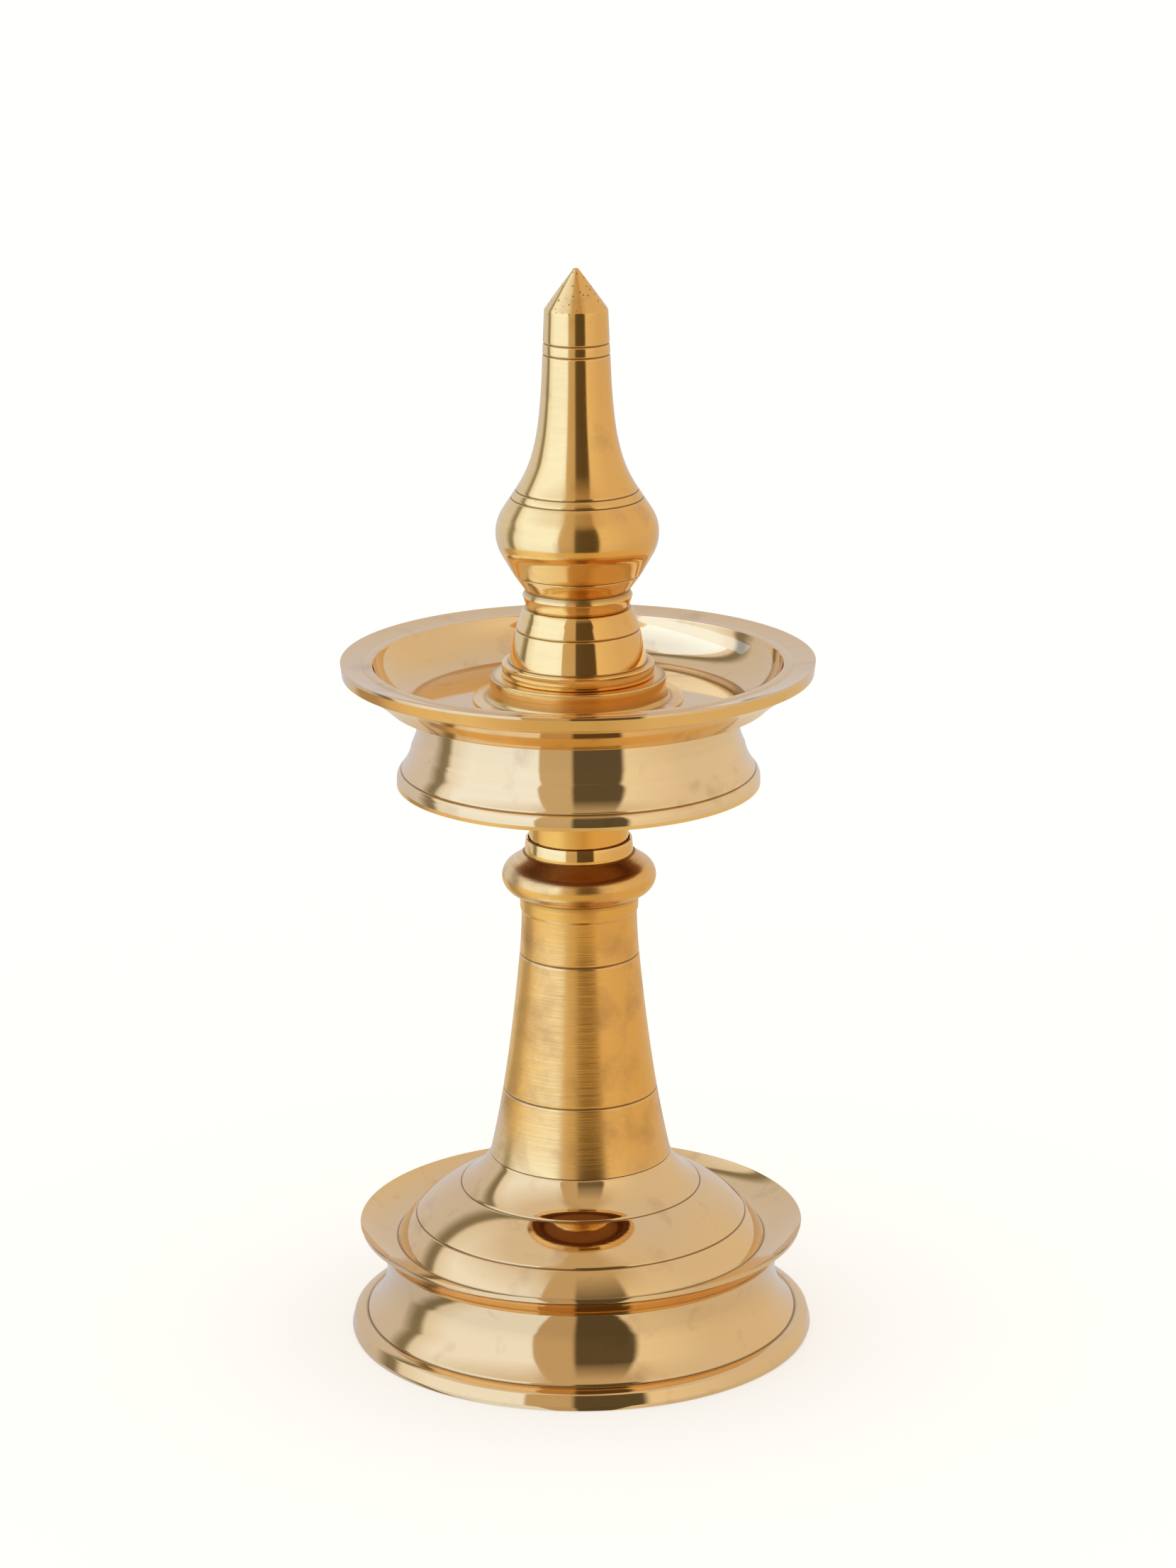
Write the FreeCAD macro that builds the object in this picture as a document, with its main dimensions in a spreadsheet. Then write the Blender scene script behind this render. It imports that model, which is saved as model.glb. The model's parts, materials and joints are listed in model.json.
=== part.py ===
import FreeCAD, Part
import itertools
import math
import os
import Sketcher
from FreeCAD import Vector

# A standing oil lamp of turned brass castings that screw together one above the other:
# base with catch dish, tapered stem, oil tray on its skirt, bell hub and finial.
# Every casting is a closed outline, radius against height, turned about the vertical axis.
# Heights are above the surface the lamp stands on. All sizes are in millimetres.

DOCUMENT_NAME = "standing_oil_lamp"

# Radial clearance of a screwed stud in its socket, and interference of its fixed end.
RUNNING_CLEARANCE = 0.05
PRESS_INTERFERENCE = 0.01

# Levels where one casting rests on the next.
BASE_TOP = 61.0
STEM_TOP = 164.3
SKIRT_TOP = 212.2
TRAY_FLOOR = 215.4
FLANGE_TOP = 223.5
BELL_TOP = 245.8
LAMP_TOP = 355.0

# Studs: radius, lower end, upper end. The fixed end is pressed into the casting above.
LARGE_STUD_RADIUS = 8.0
SMALL_STUD_RADIUS = 6.0
STUD_CHAMFER = 1.0
STUDS = {
    "stem_stud": (LARGE_STUD_RADIUS, 46.5, 78.0),
    "tray_stud": (LARGE_STUD_RADIUS, 147.0, 233.5),
    "finial_stud": (SMALL_STUD_RADIUS, 235.5, 262.0),
}

# Thread sockets that a stud turns in, and bores that a stud is fixed in.
LARGE_SOCKET = LARGE_STUD_RADIUS + RUNNING_CLEARANCE
SMALL_SOCKET = SMALL_STUD_RADIUS + RUNNING_CLEARANCE
LARGE_BORE = LARGE_STUD_RADIUS - PRESS_INTERFERENCE
SMALL_BORE = SMALL_STUD_RADIUS - PRESS_INTERFERENCE

# Outlines. Each row is a corner: name, radius, height, and the bend of the run that leads to
# it. A bend is the radius of an arc, positive where its centre is to the left of the way
# along the outline, negative where it is to the right, and 0 on a straight run.
# The way along goes up the outside of the casting and comes back down its inside.
OUTLINES = {
    "base_casting": [
        ("foot_heel", 76.0, 0.0, 0),
        ("foot_side", 76.5, 1.5, 0),
        ("band_top", 75.5, 5.1, 0),
        ("foot_groove", 71.4, 6.6, 8.0),
        ("flare_middle", 66.8, 12.4, -22.0),
        ("waist", 64.5, 21.0, -21.0),
        ("rim_flare", 66.4, 29.0, -22.0),
        ("rim_root", 71.3, 34.5, -40.0),
        ("rim_lower", 72.7, 35.3, 0),
        ("rim_upper", 73.3, 37.2, 0),
        ("gutter", 61.0, 31.9, -19.0),
        ("dome_edge", 54.8, 40.0, 37.0),
        ("dome_groove", 39.7, 50.5, 54.0),
        ("neck_flare", 29.85, 60.8, -24.0),
        ("top_edge", 29.65, BASE_TOP, 0),
        ("socket_mouth", LARGE_SOCKET, BASE_TOP, 0),
        ("socket_end", LARGE_SOCKET, 45.5, 0),
        ("boss_corner", 14.0, 45.5, 0),
        ("boss_root", 15.0, 53.5, 0),
        ("crown_inside", 25.5, 55.0, 0),
        ("dome_inside", 38.0, 47.0, 22.0),
        ("shoulder_inside", 52.3, 36.8, -51.0),
        ("gutter_inside", 58.2, 29.0, -34.0),
        ("waist_inside", 61.4, 21.0, 0),
        ("flare_inside", 64.2, 11.0, 25.0),
        ("foot_inside", 72.6, 3.6, 25.0),
        ("foot_toe", 73.4, 0.0, 0),
    ],
    "stem": [
        ("foot_face", 29.5, BASE_TOP, 0),
        ("foot_edge", 29.7, 61.2, 0),
        ("lower_groove", 25.3, 83.6, -400.0),
        ("middle", 21.95, 107.5, -530.0),
        ("upper_groove", 19.55, 130.05, -900.0),
        ("band_root", 18.8, 144.5, -190.0),
        ("band_lower", 19.25, 145.4, 0),
        ("band_upper", 19.4, 150.1, 0),
        ("bead_root", 20.3, 150.6, 0),
        ("bead_crown", 25.1, 156.0, 6.0),
        ("bead_shoulder", 22.6, 161.0, 5.6),
        ("bead_top", 18.3, STEM_TOP, -20.0),
        ("socket_mouth", LARGE_SOCKET, STEM_TOP, 0),
        ("socket_end", LARGE_SOCKET, 146.0, 0),
        ("hollow_top", 14.5, 140.0, 0),
        ("hollow_middle", 16.9, 116.0, -600.0),
        ("hollow_bottom", 21.0, 82.0, -600.0),
        ("web_upper", LARGE_BORE, 78.0, 0),
        ("web_lower", LARGE_BORE, BASE_TOP, 0),
    ],
    "stem_socket_ring": [
        ("inner_lower", 16.55, STEM_TOP, 0),
        ("outer_lower", 17.75, STEM_TOP, 0),
        ("outer_upper", 17.3, 169.0, 0),
        ("inner_upper", 16.55, 169.2, 0),
    ],
    "tray_neck": [
        ("foot_bore", LARGE_BORE, STEM_TOP, 0),
        ("foot_face", 16.0, STEM_TOP, 0),
        ("foot_edge", 16.25, 164.6, 0),
        ("upper_edge", 16.25, SKIRT_TOP, 0),
        ("upper_bore", LARGE_BORE, SKIRT_TOP, 0),
    ],
    "tray_skirt": [
        ("lip_lower", 58.9, 187.5, 0),
        ("lip_upper", 58.85, 190.2, 0),
        ("skirt_groove", 57.6, 192.7, 4.0),
        ("crease", 54.0, 200.4, -18.0),
        ("waist", 52.35, 205.1, -22.0),
        ("top_edge", 51.9, SKIRT_TOP, -70.0),
        ("top_inside", 48.4, SKIRT_TOP, 0),
        ("waist_inside", 48.9, 204.5, 70.0),
        ("flare_inside", 53.0, 195.0, 20.0),
        ("lip_inside", 56.6, 187.5, 0),
    ],
    "oil_tray": [
        ("seat_bore", LARGE_BORE, SKIRT_TOP, 0),
        ("seat_edge", 52.9, SKIRT_TOP, 0),
        ("seat_root", 52.9, 213.8, 0),
        ("belly", 61.7, 214.6, 40.0),
        ("rim_lower", 76.0, 224.4, -50.0),
        ("rim_upper", 76.5, 228.7, 0),
        ("rim_valley", 69.3, 227.4, -60.0),
        ("lip_outer", 68.3, 227.7, 0),
        ("lip_inner", 66.2, 227.6, 0),
        ("floor_edge", 53.5, TRAY_FLOOR, -17.0),
        ("floor_bore", LARGE_BORE, TRAY_FLOOR, 0),
    ],
    "hub_flange": [
        ("bore_lower", LARGE_BORE, TRAY_FLOOR, 0),
        ("disc_lower", 34.1, TRAY_FLOOR, 0),
        ("disc_upper", 34.0, 216.1, 0),
        ("fillet_outer", 29.8, 216.3, 0),
        ("fillet_inner", 28.35, 217.9, -1.8),
        ("flange_edge", 28.35, 223.2, 0),
        ("flange_face", 28.05, FLANGE_TOP, 0),
        ("bore_upper", LARGE_BORE, FLANGE_TOP, 0),
    ],
    "bell_hub": [
        ("seat_bore", LARGE_SOCKET, FLANGE_TOP, 0),
        ("seat_face", 24.1, FLANGE_TOP, 0),
        ("seat_edge", 24.6, 224.0, 0),
        ("ledge_edge", 24.6, 227.6, 0),
        ("ledge_face", 24.3, 227.9, 0),
        ("bell_foot", 22.2, 228.0, 0),
        ("bell_groove", 19.95, 238.8, 90.0),
        ("bell_shoulder", 18.55, 242.8, 30.0),
        ("bell_edge", 17.4, 245.6, 10.0),
        ("bell_face", 17.1, BELL_TOP, 0),
        ("upper_mouth", SMALL_SOCKET, BELL_TOP, 0),
        ("upper_end", SMALL_SOCKET, 234.5, 0),
        ("lower_end", LARGE_SOCKET, 234.5, 0),
    ],
    "finial": [
        ("collar_face", 16.1, BELL_TOP, 0),
        ("collar_lower", 16.4, 246.1, 0),
        ("collar_edge", 17.7, 249.9, 0),
        ("collar_root", 16.7, 251.7, 0),
        ("bulb_foot", 17.1, 252.2, 0),
        ("bulb_groove", 20.6, 257.0, 0),
        ("bulb_lower", 24.4, 263.6, 0),
        ("bulb_upper", 23.95, 277.7, 13.6),
        ("shoulder_top", 19.1, 285.1, 0),
        ("neck_lower", 14.5, 295.2, -40.0),
        ("neck_middle", 12.25, 306.3, -68.0),
        ("neck_upper", 11.0, 322.7, -190.0),
        ("point_corner", 10.15, 342.0, 0),
        ("point_end", 1.1, 354.4, 420.0),
        ("tip_edge", 0.3, LAMP_TOP, 1.2),
        ("tip", 0.0, LAMP_TOP, 0),
        ("bore_end", 0.0, 262.0, 0),
        ("bore_corner", SMALL_BORE, 262.0, 0),
        ("bore_mouth", SMALL_BORE, BELL_TOP, 0),
    ],
}

# Incised lines round each casting: radius and height of the surface there, and the angle
# in degrees at which the surface faces up.
GROOVE_WIDTH = 0.9
GROOVE_DEPTH = 0.4
GROOVES = {
    "base_casting": [(71.4, 6.6, 60.0), (54.8, 40.0, 45.0), (39.7, 50.5, 62.0)],
    "stem": [(25.3, 83.6, 9.0), (19.55, 130.05, 5.0)],
    "tray_skirt": [(57.6, 192.7, 35.0)],
    "bell_hub": [(19.95, 238.8, 17.0)],
    "finial": [
        (20.6, 257.0, -32.0),
        (21.26, 281.8, 33.2),
        (19.69, 284.2, 33.2),
        (10.75, 327.8, 2.5),
        (10.59, 331.4, 2.5),
    ],
}

document = FreeCAD.newDocument(DOCUMENT_NAME)
sheet = document.addObject("Spreadsheet::Sheet", "sizes")
sheet_rows = itertools.count(1)


def add_size(alias, value):
    """Put one driving dimension in the spreadsheet and return the expression that reads it."""
    row = next(sheet_rows)
    sheet.set(f"A{row}", alias)
    sheet.set(f"B{row}", f"{value:.4f}")
    sheet.setAlias(f"B{row}", alias)
    return f"{sheet.Name}.{alias}"


def new_body(name):
    """Start a casting: a body whose label names its file."""
    body = document.addObject("PartDesign::Body", name)
    body.Label = name
    return body


def plane_of(body, role):
    """The body's own origin plane with this role."""
    return next(item for item in body.Origin.OriginFeatures if item.Role == role)


def new_sketch(body, name, role="XZ_Plane"):
    """A sketch on one of the body's origin planes."""
    sketch = body.newObject("Sketcher::SketchObject", name)
    sketch.AttachmentSupport = [(plane_of(body, role), "")]
    sketch.MapMode = "FlatFace"
    return sketch


def arc_between(start, end, bend):
    """The arc of radius |bend| from start to end, centred left of the way for a positive bend."""
    chord = end - start
    left = Vector(-chord.y, chord.x, 0).normalize()
    rise = math.sqrt(bend * bend - chord.Length ** 2 / 4)
    centre = (start + end) * 0.5 + left * math.copysign(rise, bend)
    first, last = (start, end) if bend > 0 else (end, start)
    first_angle = math.atan2(first.y - centre.y, first.x - centre.x)
    last_angle = math.atan2(last.y - centre.y, last.x - centre.x)
    if last_angle < first_angle:
        last_angle += 2 * math.pi
    circle = Part.Circle(centre, Vector(0, 0, 1), abs(bend))
    return Part.ArcOfCircle(circle, first_angle, last_angle)


def constrain(sketch, expression, *terms):
    """Add a dimension to the sketch and bind it to the spreadsheet."""
    index = sketch.addConstraint(Sketcher.Constraint(*terms))
    sketch.setExpression(f"Constraints[{index}]", expression)


def fix_corner(sketch, run, end, radius, height, alias):
    """Hold one end of a run at its radius and height."""
    if radius == 0:
        sketch.addConstraint(Sketcher.Constraint("PointOnObject", run, end, -2))
    else:
        constrain(sketch, add_size(f"{alias}_radius", radius), "DistanceX", -1, 1, run, end, radius)
    if height == 0:
        sketch.addConstraint(Sketcher.Constraint("PointOnObject", run, end, -1))
    else:
        constrain(sketch, add_size(f"{alias}_height", height), "DistanceY", -1, 1, run, end, height)


def draw_outline(sketch, corners, prefix):
    """Draw the closed outline, one run to each corner, and dimension every corner and bend."""
    points = [Vector(radius, height, 0) for _, radius, height, _ in corners]
    ends = []
    for index, (name, _, _, bend) in enumerate(corners):
        start = points[index - 1]
        end = points[index]
        if bend:
            run = sketch.addGeometry(arc_between(start, end, bend), False)
            ends.append((run, 1, 2) if bend > 0 else (run, 2, 1))
            constrain(sketch, add_size(f"{prefix}_{name}_bend", abs(bend)), "Radius", run, abs(bend))
        else:
            run = sketch.addGeometry(Part.LineSegment(start, end), False)
            ends.append((run, 1, 2))
    for index, (name, radius, height, _) in enumerate(corners):
        run, _, run_end = ends[index]
        following, following_start, _ = ends[(index + 1) % len(corners)]
        join = Sketcher.Constraint("Coincident", run, run_end, following, following_start)
        sketch.addConstraint(join)
        fix_corner(sketch, run, run_end, radius, height, f"{prefix}_{name}")


def turn(body, kind, sketch, name):
    """Turn a sketch full circle about the vertical axis, adding or cutting metal."""
    feature = body.newObject(kind, name)
    feature.Profile = sketch
    feature.ReferenceAxis = (sketch, ["V_Axis"])
    feature.Angle = 360
    return feature


def groove_corners(number, radius, height, facing):
    """A V as deep below the surface as it stands above it, square to the surface."""
    angle = math.radians(facing)
    deep_radius = GROOVE_DEPTH * math.cos(angle)
    deep_height = GROOVE_DEPTH * math.sin(angle)
    wide_radius = GROOVE_WIDTH * math.sin(angle)
    wide_height = GROOVE_WIDTH * math.cos(angle)
    apex = (radius - deep_radius, height - deep_height)
    lower = (radius + deep_radius + wide_radius, height + deep_height - wide_height)
    upper = (radius + deep_radius - wide_radius, height + deep_height + wide_height)
    names = (f"line{number}_apex", f"line{number}_lower", f"line{number}_upper")
    return [(name, *place, 0) for name, place in zip(names, (apex, lower, upper))]


def cut_grooves(body, places, prefix):
    """Incise fine V-shaped lines round a casting."""
    sketch = new_sketch(body, f"{prefix}_incised_lines")
    for number, place in enumerate(places, 1):
        draw_outline(sketch, groove_corners(number, *place), prefix)
    turn(body, "PartDesign::Groove", sketch, f"{prefix}_incising")


def make_casting(name):
    """Turn one casting from its outline and incise its lines."""
    body = new_body(name)
    sketch = new_sketch(body, f"{name}_outline")
    draw_outline(sketch, OUTLINES[name], name)
    document.recompute()
    turn(body, "PartDesign::Revolution", sketch, f"{name}_turned")
    document.recompute()
    if name in GROOVES:
        plain_volume = body.Shape.Volume
        cut_grooves(body, GROOVES[name], name)
        document.recompute()
        if body.Shape.Volume >= plain_volume:
            raise RuntimeError(f"{name}: the incised lines cut nothing")
    return body


def make_stud(name):
    """A plain round stud with chamfered ends, standing for a threaded one."""
    radius, lower_end, upper_end = STUDS[name]
    body = new_body(name)
    sketch = new_sketch(body, f"{name}_section", "XY_Plane")
    circle = sketch.addGeometry(Part.Circle(Vector(0, 0, 0), Vector(0, 0, 1), radius), False)
    sketch.addConstraint(Sketcher.Constraint("Coincident", circle, 3, -1, 1))
    constrain(sketch, add_size(f"{name}_radius", radius), "Radius", circle, radius)
    pad = body.newObject("PartDesign::Pad", f"{name}_rod")
    pad.Profile = sketch
    pad.setExpression("Length", add_size(f"{name}_length", upper_end - lower_end))
    document.recompute()
    rims = [
        f"Edge{number}"
        for number, edge in enumerate(pad.Shape.Edges, 1)
        if isinstance(edge.Curve, Part.Circle)
    ]
    chamfer = body.newObject("PartDesign::Chamfer", f"{name}_chamfer")
    chamfer.Base = (pad, rims)
    chamfer.setExpression("Size", add_size(f"{name}_chamfer_size", STUD_CHAMFER))
    body.setExpression(".Placement.Base.z", add_size(f"{name}_lower_end", lower_end))
    document.recompute()
    return body


bodies = [make_casting(name) for name in OUTLINES] + [make_stud(name) for name in STUDS]
document.recompute()

for item in document.Objects:
    if "Invalid" in item.State or "Error" in item.State:
        raise RuntimeError(f"{item.Label} failed: {item.State}")
for body in bodies:
    if body.Shape.isNull() or not body.Shape.isValid():
        raise RuntimeError(f"{body.Label} has no valid shape")

os.makedirs("parts", exist_ok=True)
for body in bodies:
    body.Shape.exportStep(f"parts/{body.Label}.step")
    print(f"{body.Label}: {len(body.Shape.Solids)} solid, {body.Shape.Volume / 1000:.1f} cm3")
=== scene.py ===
import json
import math

import bmesh
import bpy
from bpy.props import FloatProperty, FloatVectorProperty, IntProperty, PointerProperty
from mathutils import Euler, Matrix, Vector

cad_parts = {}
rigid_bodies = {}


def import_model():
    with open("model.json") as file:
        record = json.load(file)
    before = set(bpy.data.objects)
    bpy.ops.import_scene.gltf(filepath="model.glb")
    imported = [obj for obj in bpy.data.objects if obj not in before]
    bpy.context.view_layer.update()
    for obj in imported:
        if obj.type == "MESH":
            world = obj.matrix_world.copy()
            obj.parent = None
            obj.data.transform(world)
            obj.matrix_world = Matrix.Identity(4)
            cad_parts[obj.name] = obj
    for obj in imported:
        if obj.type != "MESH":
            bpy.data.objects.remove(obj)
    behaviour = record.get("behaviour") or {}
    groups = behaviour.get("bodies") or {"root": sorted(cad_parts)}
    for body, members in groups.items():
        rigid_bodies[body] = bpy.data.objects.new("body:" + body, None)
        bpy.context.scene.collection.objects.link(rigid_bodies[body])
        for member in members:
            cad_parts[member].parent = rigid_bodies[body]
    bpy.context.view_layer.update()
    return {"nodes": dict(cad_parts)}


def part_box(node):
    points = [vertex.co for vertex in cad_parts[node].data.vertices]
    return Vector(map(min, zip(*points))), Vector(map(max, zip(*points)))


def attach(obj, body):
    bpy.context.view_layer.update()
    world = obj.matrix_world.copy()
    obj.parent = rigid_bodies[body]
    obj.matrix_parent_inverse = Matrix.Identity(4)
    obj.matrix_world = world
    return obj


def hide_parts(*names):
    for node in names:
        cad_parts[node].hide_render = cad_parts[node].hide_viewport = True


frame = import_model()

bl_info = {
    "name": "Turned Brass Oil Lamp",
    "version": (1, 0, 0),
    "blender": (4, 5, 0),
    "location": "3D View > Sidebar > Oil Lamp",
    "description": "Turns the castings of a standing oil lamp and gives them their brass",
    "category": "Add Mesh",
}

MILLIMETRE = 0.001
THREAD_STEPS = 64
JOINT_SHADOW = 0.06 * MILLIMETRE
# A run of the outline this many times longer than its smooth neighbours is straight, not curved.
STRAIGHT_RATIO = 2.5
# Points of a section nearer than this are one point.
SAME_POINT = 1e-6
DOUBLED_POINT = 2e-6
# A bend of the outline starts to take painted shade and grime where it turns inwards, or wear where it turns
# outwards, and takes it fully this much further on.
CORNER_STARTS = math.radians(6)
CORNER_GROWS = math.radians(12)
# Painted shade and grime given to the corners at the joints between castings.
JOINT_SHADE_AND_DIRT = 0.55
AXIS = Vector((0, 0, 1))
CENTRE = Vector((0, 0, 0))


class LampTurning(bpy.types.PropertyGroup):
    """How finely the castings are turned."""

    steps_round: IntProperty(
        name="Steps Round", description="Flats in one full turn", default=192, min=48, max=360
    )
    point_spacing: FloatProperty(
        name="Point Spacing",
        description="Distance between points along a smooth run of the outline",
        default=0.7 * MILLIMETRE,
        min=0.2 * MILLIMETRE,
        unit="LENGTH",
    )
    hidden_spacing: FloatProperty(
        name="Hidden Spacing",
        description="Distance between points on faces that lie inside the lamp",
        default=3.0 * MILLIMETRE,
        min=0.5 * MILLIMETRE,
        unit="LENGTH",
    )
    corner_angle: FloatProperty(
        name="Corner Angle",
        description="A bend in the outline sharper than this is an edge",
        default=math.radians(19.5),
        subtype="ANGLE",
    )
    corner_softening: FloatProperty(
        name="Corner Softening",
        description="How far polishing has rounded the edges",
        default=0.16 * MILLIMETRE,
        unit="LENGTH",
    )
    thread_pitch: FloatProperty(
        name="Thread Pitch", description="Rise of the stud threads per turn",
        default=1.75 * MILLIMETRE, unit="LENGTH",
    )
    thread_depth: FloatProperty(
        name="Thread Depth", description="Depth of the stud threads",
        default=0.85 * MILLIMETRE, unit="LENGTH",
    )


class LampBrass(bpy.types.PropertyGroup):
    """Colours and finishes of the brass."""

    pale_brass: FloatVectorProperty(
        name="Pale Brass", description="Clean brass of the base and tray", subtype="COLOR",
        size=3, default=(0.86, 0.62, 0.33),
    )
    bright_brass: FloatVectorProperty(
        name="Bright Brass", description="Clean brass of the skirt", subtype="COLOR",
        size=3, default=(0.91, 0.69, 0.40),
    )
    gold_brass: FloatVectorProperty(
        name="Gold Brass", description="Clean brass of the stem, bell and finial", subtype="COLOR",
        size=3, default=(1.0, 0.75, 0.36),
    )
    # Painted shade: this darker brass is laid on the +X side of the stem, bell and finial, where the light
    # is dimmer.
    shaded_side_brass: FloatVectorProperty(
        name="Shaded Side Brass", description="The stem, bell and finial on their aged side", subtype="COLOR",
        size=3, default=(0.87, 0.51, 0.16),
    )
    deep_brass: FloatVectorProperty(
        name="Deep Brass", description="Brass that has warmed with age", subtype="COLOR",
        size=3, default=(0.82, 0.52, 0.22),
    )
    tarnish: FloatVectorProperty(
        name="Tarnish", description="Brown tarnish", subtype="COLOR",
        size=3, default=(0.40, 0.22, 0.12),
    )
    cast_skin: FloatVectorProperty(
        name="Cast Skin", description="Dull skin inside and under the castings", subtype="COLOR",
        size=3, default=(0.38, 0.19, 0.09),
    )
    # Painted shade: this dark colour is laid in the crevices, at the joints, in the thread roots and in the
    # pits, as their shade and their polish residue together.
    shade_and_grime_colour: FloatVectorProperty(
        name="Shade And Grime", description="Polish residue left in the incised lines", subtype="COLOR",
        size=3, default=(0.10, 0.05, 0.015),
    )


class LampStage(bpy.types.PropertyGroup):
    """The floor, the lights and the camera."""

    floor_colour: FloatVectorProperty(
        name="Floor", description="Colour of the paper sweep", subtype="COLOR",
        size=3, default=(1.0, 0.975, 0.925),
    )
    room_colour: FloatVectorProperty(
        name="Room", description="Colour of the light tent", subtype="COLOR",
        size=3, default=(1.06, 1.06, 1.06),
    )
    lens: FloatProperty(
        name="Lens", description="Focal length in millimetres on a 36 mm sensor", default=104.16
    )
    camera_place: FloatVectorProperty(
        name="Camera", description="Where the camera stands", subtype="TRANSLATION",
        unit="LENGTH", size=3, default=(0.00305, -1.4164, 0.582),
    )
    camera_pitch: FloatProperty(
        name="Pitch", description="How far the camera looks down", subtype="ANGLE",
        default=math.radians(15.596),
    )
    camera_roll: FloatProperty(
        name="Roll", description="How far the camera leans", subtype="ANGLE",
        default=math.radians(-0.269),
    )


# ---------------------------------------------------------------- turning


def joint_heights():
    """The heights where one casting ends and the next begins."""
    boxes = [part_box(node) for node in frame["nodes"]]
    tops = {round(box[1][2], 5) for box in boxes}
    return sorted(tops & {round(box[0][2], 5) for box in boxes})


def section_of(node):
    """A bmesh with the half section of a casting's node, in the plane Y = 0 where X is positive."""
    bm = bmesh.new()
    bm.from_mesh(bpy.data.objects[node].data)
    bmesh.ops.remove_doubles(bm, verts=bm.verts, dist=SAME_POINT)
    bmesh.ops.bisect_plane(
        bm,
        geom=bm.verts[:] + bm.edges[:] + bm.faces[:],
        dist=SAME_POINT,
        plane_co=CENTRE,
        plane_no=(0, 1, 0),
        clear_inner=True,
        clear_outer=True,
    )
    behind = [v for v in bm.verts if v.co.x < -SAME_POINT]
    bmesh.ops.delete(bm, geom=behind, context="VERTS")
    bmesh.ops.delete(bm, geom=bm.faces[:], context="FACES_ONLY")
    bmesh.ops.remove_doubles(bm, verts=bm.verts, dist=DOUBLED_POINT)
    return bm


def walk(bm):
    """The section's points in order, and whether they close into a loop."""
    ends = [v for v in bm.verts if len(v.link_edges) == 1]
    if len(ends) not in (0, 2):
        raise RuntimeError(f"the section has {len(ends)} loose ends")
    first = max(ends, key=lambda v: v.co.z) if ends else bm.verts[:][0]
    order, last, here = [first], None, first
    while True:
        following = [e.other_vert(here) for e in here.link_edges if e.other_vert(here) is not last]
        if not following or following[0] is first:
            break
        last, here = here, following[0]
        order.append(here)
    if len(order) != len(bm.verts):
        raise RuntimeError(f"the section has {len(bm.verts)} points but {len(order)} join up")
    return order, not ends


def turn_at(before, here, after):
    """The signed angle that the outline turns by at a point, seen along Y."""
    way_in, way_out = here - before, after - here
    return math.atan2(
        way_in.z * way_out.x - way_in.x * way_out.z, way_in.x * way_out.x + way_in.z * way_out.z
    )


def turned_by(vector, angle):
    """A vector in the plane Y = 0, turned about Y."""
    return Matrix.Rotation(angle, 3, "Y") @ vector


def without_idle_points(points, closed):
    """The same outline without the points in the middle of straight runs."""
    kept = []
    for number, point in enumerate(points):
        before = kept[-1] if kept else points[-1]
        after = points[(number + 1) % len(points)]
        at_end = not closed and number in (0, len(points) - 1)
        if at_end or abs(turn_at(before, point, after)) > math.radians(0.25):
            kept.append(point)
    return kept


def through(before, start, end, after, share):
    """A point between start and end on a curve that also leads to the points on either side."""
    knots = [0.0]
    for one, other in ((before, start), (start, end), (end, after)):
        knots.append(knots[-1] + math.sqrt(max((other - one).length, 1e-9)))
    t0, t1, t2, t3 = knots
    t = t1 + (t2 - t1) * share
    a1 = before * ((t1 - t) / (t1 - t0)) + start * ((t - t0) / (t1 - t0))
    a2 = start * ((t2 - t) / (t2 - t1)) + end * ((t - t1) / (t2 - t1))
    a3 = end * ((t3 - t) / (t3 - t2)) + after * ((t - t2) / (t3 - t2))
    b1 = a1 * ((t2 - t) / (t2 - t0)) + a2 * ((t - t0) / (t2 - t0))
    b2 = a2 * ((t3 - t) / (t3 - t1)) + a3 * ((t - t1) / (t3 - t1))
    return b1 * ((t2 - t) / (t2 - t1)) + b2 * ((t - t1) / (t2 - t1))


def refined(points, closed, settings, is_hidden):
    """The outline with more points on its curves, and the numbers of those that are corners."""
    count = len(points)
    turns = [turn_at(points[n - 1], points[n], points[(n + 1) % count]) for n in range(count)]
    if not closed:
        turns[0] = turns[-1] = math.pi
    sharp = [abs(turn) > settings.corner_angle for turn in turns]
    smooth, corners = [], []
    for n in range(count if closed else count - 1):
        following = (n + 1) % count
        start, end = points[n], points[following]
        run = end - start
        before, after = points[n - 1], points[(n + 2) % count]
        if sharp[n] and not sharp[following]:
            before = start - turned_by(run, -turns[following])
        elif sharp[following] and not sharp[n]:
            after = end + turned_by(run, turns[n])
        smooth_neighbours = [
            (points[one] - points[one - 1]).length
            for one, corner in ((n, sharp[n]), ((n + 2) % count, sharp[following]))
            if not corner
        ]
        straight = run.length > STRAIGHT_RATIO * max(smooth_neighbours, default=0.0)
        spacing = settings.point_spacing * (3 if straight else 1)
        if is_hidden((start + end) / 2):
            spacing = settings.hidden_spacing
        pieces = max(1, math.ceil(run.length / spacing))
        if sharp[n]:
            corners.append(len(smooth))
        smooth.append(start.copy())
        for piece in range(1, pieces):
            share = piece / pieces
            smooth.append(start.lerp(end, share) if straight else through(before, start, end, after, share))
    if not closed:
        smooth.append(points[-1].copy())
    return smooth, corners


def never(point):
    """A test that no point passes."""
    return False


def narrower_than(reach):
    """A test for points that lie inside a bore or hollow."""
    return lambda point: point.x < reach


def within(border):
    """A test for points nearer the axis than a line of corners: height and radius in millimetres."""

    def test(point):
        height, reach = point.z / MILLIMETRE, point.x / MILLIMETRE
        for (low, one), (high, other) in zip(border, border[1:]):
            if low <= height <= high:
                return reach < one + (other - one) * (height - low) / (high - low)
        return False

    return test


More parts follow.
